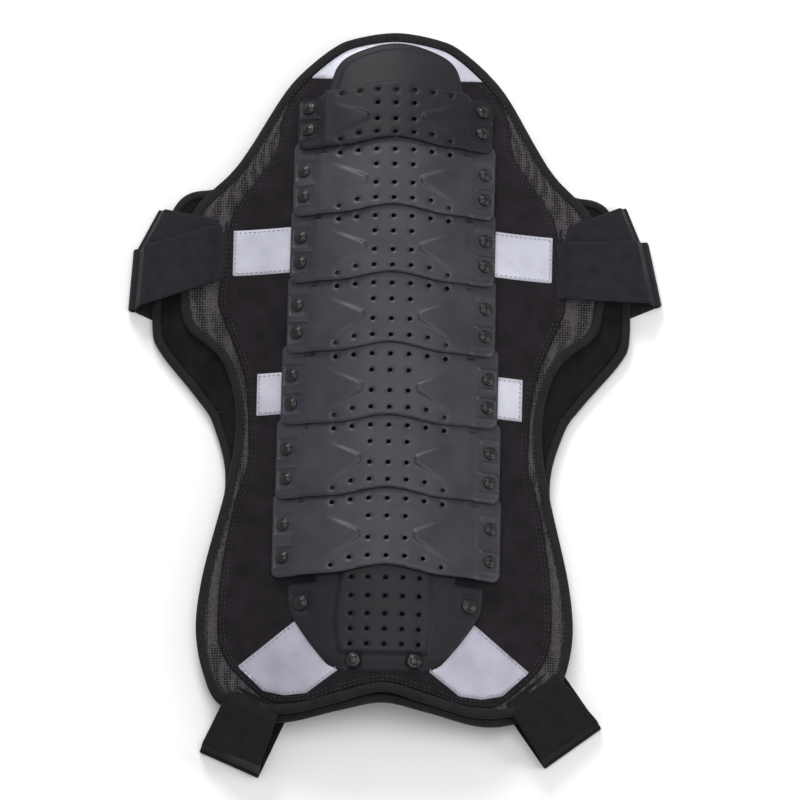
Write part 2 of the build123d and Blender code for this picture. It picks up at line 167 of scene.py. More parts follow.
def edge_distance(points, line, closed=True):
    """Distance from each point to a polyline."""
    ends = np.roll(line, -1, axis=0) if closed else line[1:]
    starts = line if closed else line[:-1]
    best = np.full(len(points), 1e9)
    for a, b in zip(starts, ends):
        ab = b - a
        t = np.clip(((points - a) @ ab) / max(ab @ ab, 1e-18), 0, 1)
        best = np.minimum(best, np.linalg.norm(points - a - t[:, None] * ab, axis=1))
    return best


def inside(points, line):
    """Which points lie inside a closed polyline."""
    result = np.zeros(len(points), bool)
    x, y = points[:, 0], points[:, 1]
    for (xa, ya), (xb, yb) in zip(line, np.roll(line, -1, axis=0)):
        crosses = (ya > y) != (yb > y)
        with np.errstate(divide="ignore", invalid="ignore"):
            hit = x < (xb - xa) * (y - ya) / (yb - ya) + xa
        result ^= crosses & hit
    return result


def fill(outline, spacing, holes=()):
    """Triangles over an outline, with holes left open."""
    low, high = outline.min(0), outline.max(0)
    rows = []
    for row, y in enumerate(np.arange(low[1], high[1], spacing * 0.866)):
        shift = spacing / 2 if row % 2 else 0
        xs = np.arange(low[0] + shift, high[0], spacing)
        rows.append(np.column_stack([xs, np.full(len(xs), y)]))
    grid = np.vstack(rows)
    grid = grid[inside(grid, outline)]
    loops = [outline, *holes]
    for loop in loops:
        grid = grid[edge_distance(grid, loop) > spacing * 0.45]
    for hole in holes:
        grid = grid[~inside(grid, hole)]
    vertices = [Vector(p) for p in grid]
    edges = []
    for loop in loops:
        first = len(vertices)
        vertices += [Vector(p) for p in loop]
        edges += [(first + k, first + (k + 1) % len(loop)) for k in range(len(loop))]
    points, _, faces, *_ = delaunay_2d_cdt(vertices, edges, [], 0, 1e-6)
    points = np.array([tuple(p) for p in points])
    faces = np.array([tuple(f) for f in faces if len(f) == 3])
    centres = points[faces].mean(1)
    keep = inside(centres, outline)
    for hole in holes:
        keep &= ~inside(centres, hole)
    faces = faces[keep]
    a, b, c = (points[faces[:, k]] for k in range(3))
    turned = (b - a)[:, 0] * (c - a)[:, 1] - (b - a)[:, 1] * (c - a)[:, 0] < 0
    faces[turned] = faces[turned][:, ::-1]
    return points, faces


def rim_edges(faces):
    """Edges that belong to one face only, in that face's direction."""
    seen = {}
    for face in faces:
        for k in range(3):
            a, b = int(face[k]), int(face[(k + 1) % 3])
            if (b, a) in seen:
                del seen[(b, a)]
            else:
                seen[(a, b)] = True
    return list(seen)


def new_object(name, vertices, faces, materials, uv=None):
    mesh = bpy.data.meshes.new(name)
    mesh.from_pydata([tuple(v) for v in vertices], [], [tuple(int(i) for i in f) for f in faces])
    for material in materials:
        mesh.materials.append(material)
    if uv is not None:
        layer = mesh.uv_layers.new(name="weave")
        loops = np.empty(len(mesh.loops), np.int32)
        mesh.loops.foreach_get("vertex_index", loops)
        layer.data.foreach_set("uv", np.asarray(uv, float)[loops].ravel())
    mesh.polygons.foreach_set("use_smooth", [True] * len(mesh.polygons))
    mesh.update()
    obj = bpy.data.objects.new(name, mesh)
    bpy.context.scene.collection.objects.link(obj)
    return obj


def two_sided(points, faces, top, bottom):
    """Vertices and faces of a closed body between two heights over the same triangles."""
    count = len(points)
    vertices = np.vstack([np.column_stack([points, top]), np.column_stack([points, bottom])])
    walls = []
    for a, b in rim_edges(faces):
        walls.append((a, a + count, b + count))
        walls.append((a, b + count, b))
    return vertices, np.vstack([faces, faces[:, ::-1] + count, np.array(walls)])


# ---------------------------------------------------------------- materials

def material(name, color, roughness, metallic=0.0, sheen=0.0, specular=0.5):
    made = bpy.data.materials.new(name)
    made.use_nodes = True
    shader = made.node_tree.nodes["Principled BSDF"]
    shader.inputs["Base Color"].default_value = (*color, 1)
    shader.inputs["Roughness"].default_value = roughness
    shader.inputs["Metallic"].default_value = metallic
    shader.inputs["Sheen Weight"].default_value = sheen
    shader.inputs["Sheen Roughness"].default_value = 0.5
    shader.inputs["Specular IOR Level"].default_value = specular
    return made


def node(made, kind, **values):
    new = made.node_tree.nodes.new(kind)
    for key, value in values.items():
        if key in new.inputs:
            new.inputs[key].default_value = value
        else:
            setattr(new, key, value)
    return new


def link(made, source, output, target, socket):
    made.node_tree.links.new(source.outputs[output], target.inputs[socket])


def place(made, scale, space="Object"):
    """Texture coordinates: the mesh's own position in metres, or its weave map."""
    if space == "weave":
        source = node(made, "ShaderNodeUVMap", uv_map="weave")
        output = "UV"
    else:
        source = node(made, "ShaderNodeTexCoord")
        output = "Object"
    mapping = node(made, "ShaderNodeMapping")
    mapping.inputs["Scale"].default_value = scale
    link(made, source, output, mapping, "Vector")
    return mapping


def colour_by(made, source, output, dark, light, low=0.3, high=0.7):
    """The surface's colour follows a texture between two colours."""
    ramp = node(made, "ShaderNodeValToRGB")
    ramp.color_ramp.elements[0].position = low
    ramp.color_ramp.elements[1].position = high
    ramp.color_ramp.elements[0].color = (*dark, 1)
    ramp.color_ramp.elements[1].color = (*light, 1)
    link(made, source, output, ramp, "Fac")
    link(made, ramp, "Color", made.node_tree.nodes["Principled BSDF"], "Base Color")
    return ramp


def bump_by(made, source, output, distance, strength=1.0, below=None):
    bump = node(made, "ShaderNodeBump", Strength=strength, Distance=distance)
    link(made, source, output, bump, "Height")
    if below is not None:
        link(made, below, "Normal", bump, "Normal")
    link(made, bump, "Normal", made.node_tree.nodes["Principled BSDF"], "Normal")
    return bump


def rough_by(made, source, output, low, high):
    spread = node(made, "ShaderNodeMapRange")
    spread.inputs["To Min"].default_value = low
    spread.inputs["To Max"].default_value = high
    link(made, source, output, spread, "Value")
    link(made, spread, "Result", made.node_tree.nodes["Principled BSDF"], "Roughness")


def moulded_plastic(name, dark, light, roughness, specular=0.38):
    """Moulded plastic with a fine grain, faint flow marks and scuffs."""
    made = material(name, light, roughness, specular=specular)
    grain = node(made, "ShaderNodeTexNoise", Scale=2600.0, Detail=2.0)
    flow = node(made, "ShaderNodeTexNoise", Scale=28.0, Detail=6.0, Roughness=0.62)
    at = place(made, (1, 1, 1))
    link(made, at, "Vector", grain, "Vector")
    link(made, at, "Vector", flow, "Vector")
    colour_by(made, flow, "Fac", dark, light, 0.35, 0.65)
    rough_by(made, flow, "Fac", roughness - 0.07, roughness + 0.1)
    bump_by(made, grain, "Fac", 0.00012, 0.5)
    return made


def woven(name, dark, light, pitch, sheen=0.25, roughness=0.85, space="Object"):
    """Plain weave: warp and weft threads in two directions, with soft variation."""
    made = material(name, light, roughness, sheen=sheen, specular=0.1)
    at = place(made, (1, 1, 1), space)
    warp = node(made, "ShaderNodeTexWave", Scale=0.314 / pitch, wave_type="BANDS", bands_direction="X")
    weft = node(made, "ShaderNodeTexWave", Scale=0.314 / pitch, wave_type="BANDS", bands_direction="Y")
    soft = node(made, "ShaderNodeTexNoise", Scale=60.0, Detail=5.0)
    for texture in (warp, weft, soft):
        link(made, at, "Vector", texture, "Vector")
    threads = node(made, "ShaderNodeMath", operation="MULTIPLY")
    made.node_tree.links.new(warp.outputs["Fac"], threads.inputs[0])
    made.node_tree.links.new(weft.outputs["Fac"], threads.inputs[1])
    mixed = node(made, "ShaderNodeMath", operation="MULTIPLY_ADD")
    made.node_tree.links.new(threads.outputs[0], mixed.inputs[0])
    mixed.inputs[1].default_value = 0.55
    made.node_tree.links.new(soft.outputs["Fac"], mixed.inputs[2])
    colour_by(made, mixed, "Value", dark, light, 0.35, 0.9)
    first = bump_by(made, threads, "Value", 0.00025, 0.7)
    bump_by(made, soft, "Fac", 0.0008, 0.35, first)
    return made


def spacer_mesh(name):
    """Perforated spacer mesh: rows of small dark holes between pale threads."""
    made = material(name, (0.03, 0.027, 0.03), 0.7, sheen=0.04, specular=0.15)
    at = place(made, (430, 430, 430))
    cells = node(made, "ShaderNodeTexVoronoi", Scale=1.0, Randomness=0.22)
    link(made, at, "Vector", cells, "Vector")
    colour_by(made, cells, "Distance", (0.003, 0.003, 0.003), (0.058, 0.052, 0.058), 0.28, 0.62)
    bump_by(made, cells, "Distance", 0.0006, 0.8)
    return made


def ribbed(name, dark, light, pitch, along="Y", sheen=0.3, roughness=0.75):
    """Elastic webbing or binding tape: fine ribs set by the weave map."""
    made = material(name, light, roughness, sheen=sheen, specular=0.15)
    at = place(made, (1, 1, 1), "weave")
    ribs = node(made, "ShaderNodeTexWave", Scale=0.314 / pitch, wave_type="BANDS", bands_direction=along)
    cross_way = "X" if along == "Y" else "Y"
    cross = node(made, "ShaderNodeTexWave", Scale=0.314 / (pitch * 1.7), wave_type="BANDS",
                 bands_direction=cross_way)
    soft = node(made, "ShaderNodeTexNoise", Scale=90.0, Detail=4.0)
    for texture in (ribs, cross, soft):
        link(made, at, "Vector", texture, "Vector")
    mixed = node(made, "ShaderNodeMath", operation="MULTIPLY_ADD")
    made.node_tree.links.new(ribs.outputs["Fac"], mixed.inputs[0])
    mixed.inputs[1].default_value = 0.5
    made.node_tree.links.new(soft.outputs["Fac"], mixed.inputs[2])
    colour_by(made, mixed, "Value", dark, light, 0.35, 0.9)
    first = bump_by(made, ribs, "Fac", 0.0003, 0.6)
    bump_by(made, cross, "Fac", 0.0002, 0.4, first)
    return made


def reflective_fabric(name, dark, light):
    """Silver-grey reflective cloth: fine beads over a smooth coat, a little creased."""
    made = material(name, light, 0.42, metallic=0.25, sheen=0.1, specular=0.55)
    at = place(made, (1, 1, 1))
    beads = node(made, "ShaderNodeTexVoronoi", Scale=1500.0)
    creases = node(made, "ShaderNodeTexNoise", Scale=34.0, Detail=4.0)
    link(made, at, "Vector", beads, "Vector")
    link(made, at, "Vector", creases, "Vector")
    colour_by(made, creases, "Fac", dark, light, 0.3, 0.7)
    rough_by(made, creases, "Fac", 0.36, 0.52)
    first = bump_by(made, beads, "Distance", 0.00015, 0.5)
    bump_by(made, creases, "Fac", 0.0012, 0.35, first)
    return made


plate_plastic = moulded_plastic("plate_plastic", (0.017, 0.016, 0.023), (0.028, 0.026, 0.036), 0.4)
# painted shade: a darker copy of the plate plastic for the cap, plate 1 and tail, which tilt away from the light
shaded_plate_plastic = moulded_plastic("shaded_plate_plastic", (0.006, 0.0058, 0.009), (0.01, 0.0096, 0.014), 0.46, 0.22)
rivet_plastic = moulded_plastic("rivet_plastic", (0.004, 0.004, 0.0045), (0.008, 0.008, 0.009), 0.26)
centre_fabric = woven("centre_fabric", (0.0075, 0.006, 0.0078), (0.018, 0.0145, 0.019), 0.0011, sheen=0.02)
liner_fabric = woven("liner_fabric", (0.004, 0.0035, 0.004), (0.012, 0.01, 0.012), 0.0014, sheen=0.03)
mesh_fabric = spacer_mesh("mesh_fabric")
binding_tape = ribbed("binding_tape", (0.005, 0.0045, 0.005), (0.014, 0.012, 0.014), 0.0013, "Y", sheen=0.04)
elastic_webbing = ribbed("elastic_webbing", (0.005, 0.0045, 0.006), (0.017, 0.0145, 0.019), 0.0016, "X",
                         sheen=0.04)
reflective = reflective_fabric("reflective_fabric", (0.42, 0.425, 0.49), (0.53, 0.535, 0.61))
# painted shade: a darker copy of the reflective cloth for the corner patches, which face away from the light on
# the tail
shaded_reflective = reflective_fabric("dull_reflective_fabric", (0.31, 0.3, 0.365), (0.41, 0.4, 0.475))
dark_webbing = ribbed("dark_webbing", (0.002, 0.002, 0.002), (0.0085, 0.008, 0.0085), 0.0016, "X", sheen=0.03)
thread = woven("thread", (0.014, 0.013, 0.016), (0.04, 0.037, 0.044), 0.0006)
grey_thread = woven("grey_thread", (0.22, 0.22, 0.26), (0.4, 0.4, 0.46), 0.0006)


# ---------------------------------------------------------------- plates

def slope(index):
    (y_top, z_top), (y_low, z_low) = spine[index], spine[index + 1]
    return math.atan2(z_top - z_low, y_top - y_low)


def chord(index):
    return float(np.linalg.norm(spine[index] - spine[index + 1]))


def shingle(index):
    return (plate_thickness + plate_gap) / chord(index)


def plate_low_lift(index):
    if index in (0, tail):
        return plate_lift
    rise = shingle(max(index, 2)) * (lap_below + lap_above)
    return plate_lift + plate_thickness + plate_gap + rise


def plate_length(index):
    return chord(index) + lap_below + (lap_below if index == 1 else lap_above)


def plate_turn(index):
    if index in (0, tail):
        return 0.0
    if index > 1:
        return math.atan(shingle(index))
    top_lift = plate_lift + plate_thickness + plate_gap
    return math.atan((plate_low_lift(1) - top_lift) / plate_length(1))


def plate_axes(index):
    """Origin, direction up the plate and direction out of it."""
    angle = slope(index)
    along = -lap_above if index == 0 else 0.0 if index == tail else -lap_below
    lift = plate_low_lift(index)
    y_low, z_low = spine[index + 1]
    origin = np.array([0, y_low + along * math.cos(angle) - lift * math.sin(angle),
                       z_low + along * math.sin(angle) + lift * math.cos(angle)])
    angle -= plate_turn(index)
    up = np.array([0, math.cos(angle), math.sin(angle)])
    out = np.array([0, -math.sin(angle), math.cos(angle)])
    return origin, up, out


def to_world(index, points, heights):
    origin, up, out = plate_axes(index)
    across = np.array([1.0, 0, 0])
    return (origin + points[:, :1] * across + points[:, 1:2] * up + np.asarray(heights)[:, None] * out)


def plate_fall(x):
    return plate_radius - np.sqrt(plate_radius ** 2 - x ** 2)


def arched_edge(y, rise, flip=False):
    """Points of a plate's edge whose middle arches towards the head."""
    x = np.linspace(-edge_arch_half_width, edge_arch_half_width, 21)
    points = np.column_stack([x, y + rise * 0.5 * (1 + np.cos(np.pi * x / edge_arch_half_width))])
    return points[::-1] if flip else points


def middle_outline(index):
    w = plate_half_widths[index]
    r = w - tab_width
    length = plate_length(index)
    tab_top = length - tab_step
    corner = plate_corner
    rise = edge_arch_rise if index == 1 else 0.0
    arc = np.linspace(0, np.pi / 2, 7)
    low_right = np.column_stack([w - corner + corner * np.sin(arc), corner - corner * np.cos(arc)])
    high_right = np.column_stack([w - corner + corner * np.cos(arc), tab_top - corner + corner * np.sin(arc)])
    step = np.array([(r + 4 * mm, tab_top), (r + 1 * mm, tab_top + 1.2 * mm), (r - 1.5 * mm, length)])
    right = np.vstack([low_right, high_right, step])
    left = right[::-1] * (-1, 1)
    line = np.vstack([arched_edge(0, edge_arch_rise), right, arched_edge(length, rise, flip=True), left])
    return resample(np.vstack([line, line[:1]]), 1.6 * mm, closed=True)


def circle(x, y, radius, count=14):
    turn = np.linspace(0, 2 * np.pi, count, endpoint=False)
    return np.column_stack([x + radius * np.cos(turn), y + radius * np.sin(turn)])


def rivet_points(index):
    if index == 0:
        return [(-56 * mm, 10.5 * mm), (56 * mm, 10.5 * mm)]
    if index == tail:
        return [(-74.4 * mm, 53 * mm), (74.4 * mm, 53 * mm), (-27 * mm, 1 * mm), (27 * mm, 1 * mm)]
    x = plate_half_widths[index] - rivet_inset
    heights = (rivet_low, max(rivet_high_share * chord(index), rivet_high_least))
    return [(side * x, y) for side in (-1, 1) for y in heights]


def hole_run(index):
    """Length of plate over which the rows of holes and the facets are spread: the part in sight."""
    return plate_length(index) if index == 1 else chord(index)


def hole_points(index):
    if index == 0:
        return []
    if index == tail:
        return [(x * mm, y * mm) for y in (74.5, 58, 42, 28.5, 15) for x in (-30, -15.4, 0, 15.4, 30)]
    found = []
    for share, columns in hole_rows:
        for x in columns:
            for side in (-1, 1) if x else (1,):
                found.append((side * x * mm, share * hole_run(index)))
    return found


def facet_height(index, x, y):
    """The bow-tie facets: two wedges whose blunt tips stand up and fade towards the sides."""
    scale = hole_run(index) / (70 * mm)
    ax = np.abs(x)
    tip_x, tip_low, tip_high = 24 * mm, 31 * mm * scale, 38 * mm * scale
    run = (ax - tip_x) / (30 * mm)
    lower = tip_low - (18 * mm * scale) * run
    upper = tip_high + (14 * mm * scale) * run
    within = smooth(-0.7 * mm, 0.9 * mm, y - lower) * smooth(-0.7 * mm, 0.9 * mm, upper - y)
    within = within * smooth(-0.7 * mm, 0.9 * mm, ax - tip_x)
    return 1.9 * mm * within * np.clip(1 - run * 0.92, 0, 1)


def middle_height(index, x, y):
    """Height of a middle plate's top above its underside's arc."""
    w = plate_half_widths[index]
    ax = np.abs(x)
    raised_to = np.full(len(x), w - tab_width)
    if index > 1:
        narrow = plate_half_widths[index - 1] - tab_width - plate_thickness - 1 * mm
        raised_to = np.where(y > chord(index) - 4 * mm, narrow, raised_to)
    raised = smooth(-2.2 * mm, 0.2 * mm, raised_to - ax)
    height = plate_thickness + plate_rise * raised
    height = height + facet_height(index, x, y) * raised
    for rivet_x, rivet_y in rivet_points(index):
        u = np.abs(x - rivet_x * 0.985)
        v = np.abs(y - rivet_y)
        pocket = smooth(0, 1.2 * mm, 8.6 * mm - u) * smooth(0, 1.2 * mm, 9.6 * mm - v)
        height = height - 1.3 * mm * pocket
        lip = smooth(0, 1.0 * mm, 10 * mm - u) * smooth(0, 1.0 * mm, 11 * mm - v) - pocket
        height = height + 0.5 * mm * np.clip(lip, 0, 1)
    return height


def tail_height(x, y):
    ax = np.abs(x)
    half = np.interp(y, [8 * mm, 35 * mm, 92 * mm], [38 * mm, 43 * mm, 36.5 * mm])
    raised = smooth(-1.8 * mm, 0.2 * mm, half - ax) * smooth(6 * mm, 9 * mm, y)
    height = plate_thickness + plate_rise * raised
    for rivet_x, rivet_y in rivet_points(tail):
        u = np.abs(x - rivet_x)
        v = np.abs(y - rivet_y)
        reach = 9.2 * mm if abs(rivet_x) > 50 * mm else 7.6 * mm
        pocket = smooth(0, 1.2 * mm, reach - u) * smooth(0, 1.2 * mm, reach + 0.8 * mm - v)
        height = height - 1.2 * mm * pocket
    return height


def cap_height(points, outline):
    inner = edge_distance(points, outline)
    return plate_thickness + plate_rise * smooth(5.8 * mm, 8.2 * mm, inner) * smooth(0, 9 * mm, points[:, 1])


def cap_line():
    crown = curve_through(np.array(mirrored(cap_outline)) * mm, 1.6 * mm, closed=False)
    crown = crown + (0, lap_above)
    foot = arched_edge(0, edge_arch_rise)
    half = cap_outline[0][0] * mm
    line = np.vstack([[(-half, 0)], foot, [(half, 0)], crown])
    return resample(np.vstack([line, line[:1]]), 1.6 * mm, closed=True)


def tail_line():
    w = plate_half_widths[tail]
    top = chord(tail) + lap_above
    side = np.array(tail_side) * mm
    low = curve_through(np.vstack([side, side[-2::-1] * (-1, 1)]), 1.6 * mm, closed=False)
    tab_top = 71 * mm
    shoulder = np.array([(62 * mm, top), (62 * mm, tab_top + 1 * mm), (w - 6 * mm, tab_top),
                         (w - 1.2 * mm, tab_top - 2 * mm),
                         (w, tab_top - 7 * mm)])
    line = np.vstack([shoulder, low, shoulder[::-1] * (-1, 1)])[::-1]
    return resample(np.vstack([line, line[:1]]), 1.6 * mm, closed=True)


def plate(index):
    """One plate: a thin arched shell with rounded rims, facets, rivet pockets and vent holes."""
    outline = cap_line() if index == 0 else tail_line() if index == tail else middle_outline(index)
    holes = [circle(x, y, hole_radius) for x, y in hole_points(index)]
    points, faces = fill(outline, 1.9 * mm, holes)
    x, y = points[:, 0], points[:, 1]
    if index == 0:
        top = cap_height(points, outline)
    elif index == tail:
        top = tail_height(x, y)
    else:
        top = middle_height(index, x, y)
    under = np.maximum(top - plate_thickness, 0)
    rim = edge_distance(points, outline)
    top = top - 1.1 * mm * (1 - np.sqrt(1 - (1 - np.clip(rim / (2.4 * mm), 0, 1)) ** 2))
    for hole in hole_points(index):
        away = np.hypot(x - hole[0], y - hole[1]) - hole_radius
        top = top - 0.7 * mm * (1 - smooth(0, 2.0 * mm, away))
    if index == tail:
        curl = 3.2 * mm * smooth(14 * mm, -9 * mm, y) ** 2
        top, under = top - curl, under - curl
    fall = plate_fall(x)
    _, solid_faces = two_sided(points, faces, top, under)
    vertices = np.vstack([to_world(index, points, top - fall), to_world(index, points, under - fall)])
    # The cap, plate 1 and tail take the darker copy of the plate plastic: painted shade.
    shade = shaded_plate_plastic if index in (0, 1, tail) else plate_plastic
    obj = new_object(f"plate_shell_{names[index]}", vertices, solid_faces, [shade])
    obj.data.set_sharp_from_angle(angle=math.radians(48))
    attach(obj, bodies[index])
    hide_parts(f"plate_{names[index]}")


rivet_profile = [(0, -8), (2, -8), (2, -1.4), (4.85, -1.4), (5.75, -0.9), (5.75, -0.1), (5.25, 0.35),
                 (4.25, 0.6),
                 (3.85, 0.55), (3.55, 0.8), (2.55, 1.25), (1.2, 1.45), (0, 1.4)]


def lathe(profile, sides=28):
    """Vertices and faces of a turned solid from (radius, height) points."""
    turn = np.linspace(0, 2 * np.pi, sides, endpoint=False)
    vertices = [(0, 0, profile[0][1])]
    for radius, height in profile[1:-1]:
        vertices += [(radius * math.cos(t), radius * math.sin(t), height) for t in turn]
    vertices.append((0, 0, profile[-1][1]))
    rings = len(profile) - 2
    faces = [(0, 1 + (k + 1) % sides, 1 + k) for k in range(sides)]
    for ring in range(rings - 1):
        a, b = 1 + ring * sides, 1 + (ring + 1) * sides
        for k in range(sides):
            faces.append((a + k, a + (k + 1) % sides, b + (k + 1) % sides, b + k))
    last = 1 + (rings - 1) * sides
    faces += [(last + k, last + (k + 1) % sides, len(vertices) - 1) for k in range(sides)]
    return np.array(vertices), faces


def rivet_group(index):
    """A plate's rivets: domed heads with a step and a dimple, and their shanks."""
    size = {0: 3.2, tail: 6.6}.get(index, 5.75) / 5.75
    vertices, faces = lathe([(r * size * mm, h * mm) for r, h in rivet_profile])
    all_vertices, all_faces = [], []
    origin, up, out = plate_axes(index)
    for x, y in rivet_points(index):
        angle = math.asin(x / plate_radius)
        normal = np.array([math.sin(angle), 0, 0]) + math.cos(angle) * out
        side = np.array([math.cos(angle), 0, 0]) - math.sin(angle) * out
        base = origin + np.array([x, 0, 0]) + y * up + (plate_thickness - plate_fall(x)) * out
        start = sum(len(v) for v in all_vertices)
        placed = base + vertices[:, :1] * side + vertices[:, 1:2] * up + vertices[:, 2:] * normal
        all_vertices.append(placed)
        all_faces += [tuple(i + start for i in face) for face in faces]
    obj = new_object(f"rivet_heads_{names[index]}", np.vstack(all_vertices), all_faces, [rivet_plastic])
    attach(obj, bodies[index])
    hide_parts(f"rivets_{names[index]}")


for index in range(9):
    plate(index)
    rivet_group(index)


# ---------------------------------------------------------------- layers cut into strips between the joints

joint_ys = spine[1:9, 0]
cut_ys = (spine[1:8, 0] + spine[2:9, 0]) / 2


def bend_across(piece):
    """Bakes the piece's placement into its mesh."""
    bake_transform(piece)


def bend_strips(name, vertices, faces, shade, nodes=(), uv=None):
    """Cuts a layer between its joints into strips, each holding one joint, and bakes each strip's placement into
    its mesh.
    """
    whole = new_object(name, vertices, faces, [shade], uv=uv)
    edit = bmesh.new()
    edit.from_mesh(whole.data)
    for y in cut_ys:
        everything = edit.verts[:] + edit.edges[:] + edit.faces[:]
        bmesh.ops.bisect_plane(edit, geom=everything, plane_co=(0, y, 0), plane_no=(0, 1, 0), dist=1e-6)
    edit.normal_update()
    layer = edit.loops.layers.uv.active
    edit.verts.index_update()
    normals = [tuple(v.normal) for v in edit.verts]
    groups = {}
    for face in edit.faces:
        strip = int(np.sum(cut_ys > face.calc_center_median().y))
        groups.setdefault(strip, []).append(face)
    for strip, members in sorted(groups.items()):
        used = sorted({v.index for face in members for v in face.verts})
        number = {old: new for new, old in enumerate(used)}
        edit.verts.ensure_lookup_table()
        piece = new_object(f"{name}_{strip + 1}", [edit.verts[i].co for i in used],
                           [[number[v.index] for v in face.verts] for face in members], [shade])
        if layer is not None:
            made = piece.data.uv_layers.new(name="weave")
            values = [tuple(loop[layer].uv) for face in members for loop in face.loops]
            made.data.foreach_set("uv", np.array(values, np.float32).ravel())
        piece.data.normals_split_custom_set_from_vertices([normals[i] for i in used])
        bend_across(piece)
        stands_for = [f"{node_name}_{names[strip]}" for node_name in nodes]
        if strip == 7:
            stands_for += [f"{node_name}_tail" for node_name in nodes]
        real = [node_name for node_name in stands_for if node_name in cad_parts]
        if real:
            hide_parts(*real)
    edit.free()
    bpy.data.objects.remove(whole)


def outline_curve(points, spacing):
    """A closed outline in metres, both halves, running anticlockwise."""
    line = curve_through(np.array(mirrored(points)) * mm, spacing)
    x, y = line[:, 0], line[:, 1]
    area = np.sum(x * np.roll(y, -1) - np.roll(x, -1) * y)
    return line if area > 0 else line[::-1]


def directions(line):
    """Unit tangents of a closed anticlockwise line, and its inward normals."""
    tangent = np.roll(line, -1, axis=0) - np.roll(line, 1, axis=0)
    tangent /= np.linalg.norm(tangent, axis=1)[:, None]
    return tangent, np.column_stack([-tangent[:, 1], tangent[:, 0]])


def inset(line, amount):
    return line + amount * directions(line)[1]


def surface_axes(points, tangent, inward):
    """The two directions in the surface, and its normal, at points along a line."""
    step = 1 * mm
    x, y = points[:, 0], points[:, 1]
    slope_x = (surface_z(x + step, y) - surface_z(x - step, y)) / (2 * step)
    slope_y = (surface_z(x, y + step) - surface_z(x, y - step)) / (2 * step)
    along = np.column_stack([tangent, slope_x * tangent[:, 0] + slope_y * tangent[:, 1]])
    along /= np.linalg.norm(along, axis=1)[:, None]
    across = np.column_stack([inward, slope_x * inward[:, 0] + slope_y * inward[:, 1]])
    across /= np.linalg.norm(across, axis=1)[:, None]
    return along, across, np.cross(along, across)


def piping(name, line, half_width, half_height, depth, nodes=()):
    """A bound edge: folded tape round the rim of a layer, with a flattened round section."""
    centre = inset(line, half_width)
    tangent, inward = directions(line)
    _, across, normal = surface_axes(centre, tangent, inward)
    spot = np.column_stack([centre, surface_z(centre[:, 0], centre[:, 1]) - depth])
    sides = 14
    turn = np.linspace(0, 2 * np.pi, sides, endpoint=False)
    wide = np.sign(np.cos(turn)) * np.abs(np.cos(turn)) ** 0.75
    high = np.sign(np.sin(turn)) * np.abs(np.sin(turn)) ** 0.75
    pucker = 1 + 0.05 * np.sin(np.arange(len(line)) * 2.3) + 0.03 * np.sin(np.arange(len(line)) * 0.71)
    rings = (spot[:, None] + across[:, None] * (half_width * wide)[None, :, None]
             + normal[:, None] * (half_height * pucker[:, None] * high[None])[:, :, None])
    count = len(line)
    lengths = np.concatenate([[0], np.cumsum(np.linalg.norm(np.diff(line, axis=0), axis=1))])
    uv = np.stack([np.broadcast_to(turn * half_width, (count, sides)),
                   np.broadcast_to(lengths[:, None], (count, sides))], -1)
    faces = []
    for i in range(count):
        j = (i + 1) % count
        for k in range(sides):
            m = (k + 1) % sides
            faces.append((i * sides + k, i * sides + m, j * sides + m, j * sides + k))
    bend_strips(name, rings.reshape(-1, 3), [face[::-1] for face in faces], binding_tape, nodes,
                uv.reshape(-1, 2))


def stitch_row(name, line, height, shade, pitch=4.2 * mm, length=2.9 * mm, body=None):
    """A row of short sewn stitches lying on the surface."""
    line = resample(np.vstack([line, line[:1]]), pitch, closed=True)
    tangent, inward = directions(line)
    along, across, normal = surface_axes(line, tangent, inward)
    spot = np.column_stack([line, surface_z(line[:, 0], line[:, 1])]) + height * normal
    shares = np.array([-1, -0.8, -0.3, 0.3, 0.8, 1])
    thick = np.array([0.15, 0.75, 1, 1, 0.75, 0.15]) * 0.42 * mm
    dip = np.array([-0.6, -0.15, 0, 0, -0.15, -0.6]) * mm
    sides = 6
    turn = np.linspace(0, 2 * np.pi, sides, endpoint=False)
    vertices, faces, strips = [], [], []
    for i in range(len(line)):
        base = len(vertices)
        for share, radius, sink in zip(shares, thick, dip):
            middle = spot[i] + along[i] * share * length / 2 + normal[i] * sink
            for t in turn:
                vertices.append(middle + radius * (across[i] * math.cos(t) + normal[i] * math.sin(t)))
        for ring in range(len(shares) - 1):
            for k in range(sides):
                m = (k + 1) % sides
                a, b = base + ring * sides, base + (ring + 1) * sides
                faces.append((a + k, b + k, b + m, a + m))
                strips.append(int(np.sum(cut_ys > spot[i][1])))
    vertices, faces, strips = np.array(vertices), np.array(faces), np.array(strips)
    for strip in range(8) if body is None else (None,):
        chosen = faces if body else faces[strips == strip]
        if len(chosen) == 0:
            continue
        used, renumbered = np.unique(chosen, return_inverse=True)
        label = name if body else f"{name}_{strip + 1}"
        piece = new_object(label, vertices[used], renumbered.reshape(chosen.shape), [shade])
        if body:
            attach(piece, body)
        else:
            bend_across(piece)


def ripple(x, y, size):
    """Gentle unevenness of stuffed fabric, between -1 and 1."""
    first = np.sin(x / size * 1.9 + 2.2 * np.sin(y / size * 0.9)) * np.sin(y / size * 1.6 + 1.3 * np.sin(x / size))
    return (first + 0.5 * np.sin((x + y) / size * 3.1)) / 1.5


panel_edge = outline_curve(panel_outline, 5 * mm)
centre_edge = outline_curve(centre_outline, 4 * mm)
liner_edge = outline_curve(liner_outline, 5 * mm)


